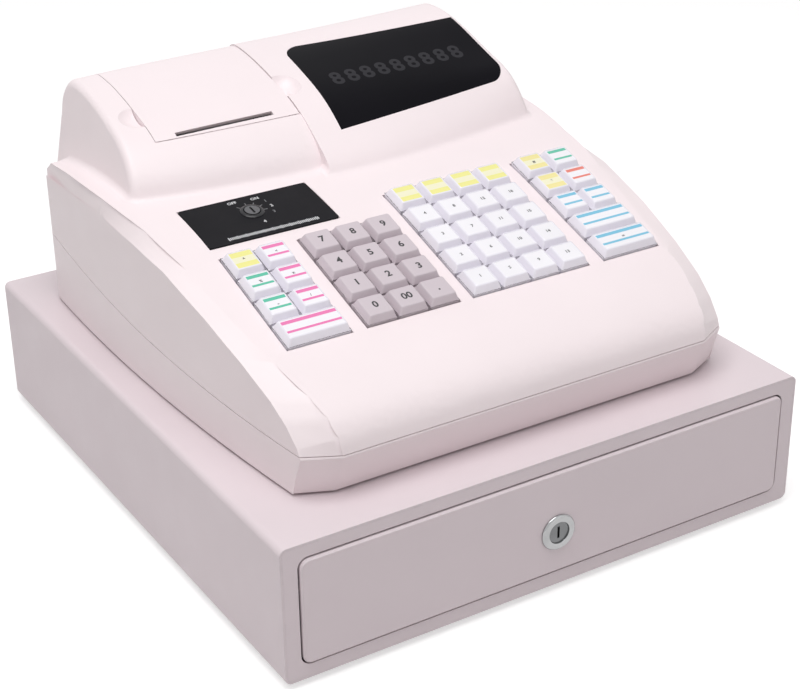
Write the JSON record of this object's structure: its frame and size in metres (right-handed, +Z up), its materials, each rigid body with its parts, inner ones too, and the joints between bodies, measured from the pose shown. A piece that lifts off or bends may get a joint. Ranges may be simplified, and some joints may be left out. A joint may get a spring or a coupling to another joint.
{
  "type": "ticket register",
  "caption": "Electronic ticket register with sloping keyboard, receipt printer and display on a lockable steel cash drawer.",
  "frame": {"origin": "middle of the whole register's footprint, on the surface it stands on", "axes": "+X to the register's right as the clerk sees it, +Y from the drawer front to the back, +Z up"},
  "size_m": [0.33, 0.371, 0.2292],
  "materials": {
    "case_paint": "off-white powder coat with a faint pink tint",
    "zinc_steel": "zinc-plated sheet",
    "housing_plastic": "off-white with a faint pink tint, finely grained",
    "black_rubber": "matt",
    "nylon": "natural nylon",
    "chrome": "polished",
    "brass": "worn",
    "black_plastic": "black moulding",
    "clip_plastic": "dark grey",
    "smoked_window": "dark smoked sheet, glossy",
    "board": "green circuit board",
    "mode_print": "black printed sheet",
    "key_white": "clear cap over a white label",
    "key_grey": "clear cap over a grey label",
    "key_yellow": "clear cap over a yellow label",
    "key_green": "clear cap over a green label",
    "key_pink": "clear cap over a pink label",
    "key_red": "clear cap over a red label",
    "key_blue": "clear cap over a blue label",
    "paper": "white thermal paper"
  },
  "bodies": {
    "register": {"drawer_case": "case_paint", "drawer_front_frame": "case_paint", "rubber_feet": "black_rubber", "ejector_spring": "zinc_steel", "latch_solenoid": "zinc_steel", "base_tray": "housing_plastic", "upper_housing": "housing_plastic", "housing_screws": "zinc_steel", "main_board": "board", "keyboard_frame": "black_plastic", "printer_frame": "black_plastic", "display_window": "smoked_window", "display_module": "board", "mode_panel": "mode_print", "power_inlet": "black_plastic"},
    "drawer": {"drawer_box": "zinc_steel", "drawer_front_panel": "case_paint", "drawer_lock_barrel": "chrome", "till_tray": "black_plastic", "clip_rod": "zinc_steel"},
    "case_rollers_body": {"case_rollers": "nylon"},
    "drawer_rollers_body": {"drawer_rollers": "nylon"},
    "note_clips_body": {"note_clips": "clip_plastic"},
    "lock_plug_body": {"drawer_lock_plug": "brass"},
    "latch_lever_body": {"latch_lever": "zinc_steel"},
    "printer_cover_body": {"printer_cover": "housing_plastic"},
    "paper_roll_body": {"paper_roll": "paper"},
    "platen_body": {"platen_roller": "black_rubber"},
    "mode_lock_body": {"mode_lock_rotor": "brass"},
    "paper_feed_key_body": {"paper_feed_key": "key_yellow"},
    "percent_key_body": {"percent_key": "key_green"},
    "minus_key_body": {"minus_key": "key_green"},
    "refund_key_body": {"refund_key": "key_pink"},
    "void_key_body": {"void_key": "key_pink"},
    "correction_key_body": {"correction_key": "key_pink"},
    "clear_key_body": {"clear_key": "key_pink"},
    "number_key_7_body": {"number_key_7": "key_grey"},
    "number_key_8_body": {"number_key_8": "key_grey"},
    "number_key_9_body": {"number_key_9": "key_grey"},
    "number_key_4_body": {"number_key_4": "key_grey"},
    "number_key_5_body": {"number_key_5": "key_grey"},
    "number_key_6_body": {"number_key_6": "key_grey"},
    "number_key_1_body": {"number_key_1": "key_grey"},
    "number_key_2_body": {"number_key_2": "key_grey"},
    "number_key_3_body": {"number_key_3": "key_grey"},
    "number_key_0_body": {"number_key_0": "key_grey"},
    "number_key_00_body": {"number_key_00": "key_grey"},
    "number_key_point_body": {"number_key_point": "key_grey"},
    "price_lookup_key_body": {"price_lookup_key": "key_yellow"},
    "no_sale_key_body": {"no_sale_key": "key_green"},
    "clerk_key_body": {"clerk_key": "key_yellow"},
    "cancel_key_body": {"cancel_key": "key_red"},
    "cheque_key_body": {"cheque_key": "key_blue"},
    "charge_key_body": {"charge_key": "key_blue"},
    "subtotal_key_body": {"subtotal_key": "key_blue"},
    "cash_total_key_body": {"cash_total_key": "key_white"},
    "department_keys_column_1_body": {"department_keys_column_1": "key_white"},
    "department_keys_column_2_body": {"department_keys_column_2": "key_white"},
    "department_keys_column_3_body": {"department_keys_column_3": "key_white"},
    "department_keys_column_4_body": {"department_keys_column_4": "key_white"}
  },
  "joints": [
    {"name": "drawer_slide", "type": "slide", "parent": "register", "child": "drawer", "axis": [0, -1, 0], "range_m": [0, 0.27]},
    {"name": "printer_cover_hinge", "type": "hinge", "parent": "register", "child": "printer_cover_body", "pos_m": [-0.06335, 0.1425, 0.212], "axis": [-1, 0, 0], "range_deg": [0, 88]},
    {"name": "drawer_lock_turn", "type": "hinge", "parent": "drawer", "child": "lock_plug_body", "pos_m": [0, -0.1845, 0.0385], "axis": [0, 1, 0], "range_deg": [0, 90]},
    {"name": "note_clips_lift", "type": "hinge", "parent": "drawer", "child": "note_clips_body", "pos_m": [0, 0.139, 0.055], "axis": [-1, 0, 0], "range_deg": [0, 46], "stiffness_Nm_per_rad": 0.05, "springref_deg": -20.05},
    {"name": "mode_lock_turn", "type": "hinge", "parent": "register", "child": "mode_lock_body", "pos_m": [-0.0781, 0.00172, 0.17554], "axis": [0, -0.1736, 0.9848], "range_deg": [-60, 90]},
    {"name": "latch_lever_turn", "type": "hinge", "parent": "register", "child": "latch_lever_body", "pos_m": [0, 0.1799, 0.018], "axis": [-1, 0, 0], "range_deg": [0, 20]},
    {"name": "case_roller_turn", "type": "hinge", "parent": "register", "child": "case_rollers_body", "pos_m": [0, -0.1545, 0.0361], "axis": [1, 0, 0], "continuous": true},
    {"name": "drawer_roller_turn", "type": "hinge", "parent": "drawer", "child": "drawer_rollers_body", "pos_m": [0, 0.1475, 0.0361], "axis": [1, 0, 0], "continuous": true},
    {"name": "platen_turn", "type": "hinge", "parent": "register", "child": "platen_body", "pos_m": [-0.06335, 0.0615, 0.1905], "axis": [1, 0, 0], "continuous": true},
    {"name": "paper_roll_turn", "type": "hinge", "parent": "register", "child": "paper_roll_body", "pos_m": [-0.06335, 0.1015, 0.182], "axis": [1, 0, 0], "continuous": true},
    {"name": "paper_feed_key_press", "type": "slide", "parent": "register", "child": "paper_feed_key_body", "axis": [0, 0.2924, -0.9563], "range_m": [0, 0.003], "stiffness_N_per_m": 150, "springref_m": -0.001},
    {"name": "percent_key_press", "type": "slide", "parent": "register", "child": "percent_key_body", "axis": [0, 0.2924, -0.9563], "range_m": [0, 0.003], "stiffness_N_per_m": 150, "springref_m": -0.001},
    {"name": "minus_key_press", "type": "slide", "parent": "register", "child": "minus_key_body", "axis": [0, 0.2924, -0.9563], "range_m": [0, 0.003], "stiffness_N_per_m": 150, "springref_m": -0.001},
    {"name": "refund_key_press", "type": "slide", "parent": "register", "child": "refund_key_body", "axis": [0, 0.2924, -0.9563], "range_m": [0, 0.003], "stiffness_N_per_m": 150, "springref_m": -0.001},
    {"name": "void_key_press", "type": "slide", "parent": "register", "child": "void_key_body", "axis": [0, 0.2924, -0.9563], "range_m": [0, 0.003], "stiffness_N_per_m": 150, "springref_m": -0.001},
    {"name": "correction_key_press", "type": "slide", "parent": "register", "child": "correction_key_body", "axis": [0, 0.2924, -0.9563], "range_m": [0, 0.003], "stiffness_N_per_m": 150, "springref_m": -0.001},
    {"name": "clear_key_press", "type": "slide", "parent": "register", "child": "clear_key_body", "axis": [0, 0.2924, -0.9563], "range_m": [0, 0.003], "stiffness_N_per_m": 150, "springref_m": -0.001},
    {"name": "number_key_7_press", "type": "slide", "parent": "register", "child": "number_key_7_body", "axis": [0, 0.2924, -0.9563], "range_m": [0, 0.003], "stiffness_N_per_m": 150, "springref_m": -0.001},
    {"name": "number_key_8_press", "type": "slide", "parent": "register", "child": "number_key_8_body", "axis": [0, 0.2924, -0.9563], "range_m": [0, 0.003], "stiffness_N_per_m": 150, "springref_m": -0.001},
    {"name": "number_key_9_press", "type": "slide", "parent": "register", "child": "number_key_9_body", "axis": [0, 0.2924, -0.9563], "range_m": [0, 0.003], "stiffness_N_per_m": 150, "springref_m": -0.001},
    {"name": "number_key_4_press", "type": "slide", "parent": "register", "child": "number_key_4_body", "axis": [0, 0.2924, -0.9563], "range_m": [0, 0.003], "stiffness_N_per_m": 150, "springref_m": -0.001},
    {"name": "number_key_5_press", "type": "slide", "parent": "register", "child": "number_key_5_body", "axis": [0, 0.2924, -0.9563], "range_m": [0, 0.003], "stiffness_N_per_m": 150, "springref_m": -0.001},
    {"name": "number_key_6_press", "type": "slide", "parent": "register", "child": "number_key_6_body", "axis": [0, 0.2924, -0.9563], "range_m": [0, 0.003], "stiffness_N_per_m": 150, "springref_m": -0.001},
    {"name": "number_key_1_press", "type": "slide", "parent": "register", "child": "number_key_1_body", "axis": [0, 0.2924, -0.9563], "range_m": [0, 0.003], "stiffness_N_per_m": 150, "springref_m": -0.001},
    {"name": "number_key_2_press", "type": "slide", "parent": "register", "child": "number_key_2_body", "axis": [0, 0.2924, -0.9563], "range_m": [0, 0.003], "stiffness_N_per_m": 150, "springref_m": -0.001},
    {"name": "number_key_3_press", "type": "slide", "parent": "register", "child": "number_key_3_body", "axis": [0, 0.2924, -0.9563], "range_m": [0, 0.003], "stiffness_N_per_m": 150, "springref_m": -0.001},
    {"name": "number_key_0_press", "type": "slide", "parent": "register", "child": "number_key_0_body", "axis": [0, 0.2924, -0.9563], "range_m": [0, 0.003], "stiffness_N_per_m": 150, "springref_m": -0.001},
    {"name": "number_key_00_press", "type": "slide", "parent": "register", "child": "number_key_00_body", "axis": [0, 0.2924, -0.9563], "range_m": [0, 0.003], "stiffness_N_per_m": 150, "springref_m": -0.001},
    {"name": "number_key_point_press", "type": "slide", "parent": "register", "child": "number_key_point_body", "axis": [0, 0.2924, -0.9563], "range_m": [0, 0.003], "stiffness_N_per_m": 150, "springref_m": -0.001},
    {"name": "price_lookup_key_press", "type": "slide", "parent": "register", "child": "price_lookup_key_body", "axis": [0, 0.2924, -0.9563], "range_m": [0, 0.003], "stiffness_N_per_m": 150, "springref_m": -0.001},
    {"name": "no_sale_key_press", "type": "slide", "parent": "register", "child": "no_sale_key_body", "axis": [0, 0.2924, -0.9563], "range_m": [0, 0.003], "stiffness_N_per_m": 150, "springref_m": -0.001},
    {"name": "clerk_key_press", "type": "slide", "parent": "register", "child": "clerk_key_body", "axis": [0, 0.2924, -0.9563], "range_m": [0, 0.003], "stiffness_N_per_m": 150, "springref_m": -0.001},
    {"name": "cancel_key_press", "type": "slide", "parent": "register", "child": "cancel_key_body", "axis": [0, 0.2924, -0.9563], "range_m": [0, 0.003], "stiffness_N_per_m": 150, "springref_m": -0.001},
    {"name": "cheque_key_press", "type": "slide", "parent": "register", "child": "cheque_key_body", "axis": [0, 0.2924, -0.9563], "range_m": [0, 0.003], "stiffness_N_per_m": 150, "springref_m": -0.001},
    {"name": "charge_key_press", "type": "slide", "parent": "register", "child": "charge_key_body", "axis": [0, 0.2924, -0.9563], "range_m": [0, 0.003], "stiffness_N_per_m": 150, "springref_m": -0.001},
    {"name": "subtotal_key_press", "type": "slide", "parent": "register", "child": "subtotal_key_body", "axis": [0, 0.2924, -0.9563], "range_m": [0, 0.003], "stiffness_N_per_m": 150, "springref_m": -0.001},
    {"name": "cash_total_key_press", "type": "slide", "parent": "register", "child": "cash_total_key_body", "axis": [0, 0.2924, -0.9563], "range_m": [0, 0.003], "stiffness_N_per_m": 150, "springref_m": -0.001},
    {"name": "department_keys_column_1_press", "type": "slide", "parent": "register", "child": "department_keys_column_1_body", "axis": [0, 0.2924, -0.9563], "range_m": [0, 0.003], "stiffness_N_per_m": 750, "springref_m": -0.001},
    {"name": "department_keys_column_2_press", "type": "slide", "parent": "register", "child": "department_keys_column_2_body", "axis": [0, 0.2924, -0.9563], "range_m": [0, 0.003], "stiffness_N_per_m": 750, "springref_m": -0.001},
    {"name": "department_keys_column_3_press", "type": "slide", "parent": "register", "child": "department_keys_column_3_body", "axis": [0, 0.2924, -0.9563], "range_m": [0, 0.003], "stiffness_N_per_m": 750, "springref_m": -0.001},
    {"name": "department_keys_column_4_press", "type": "slide", "parent": "register", "child": "department_keys_column_4_body", "axis": [0, 0.2924, -0.9563], "range_m": [0, 0.003], "stiffness_N_per_m": 750, "springref_m": -0.001}
  ],
  "couplings": [
    {"joint": "case_roller_turn", "follows": "drawer_slide", "rad_per_m": 128.21},
    {"joint": "drawer_roller_turn", "follows": "drawer_slide", "rad_per_m": 128.21},
    {"joint": "paper_roll_turn", "follows": "platen_turn", "ratio": 0.24}
  ]
}
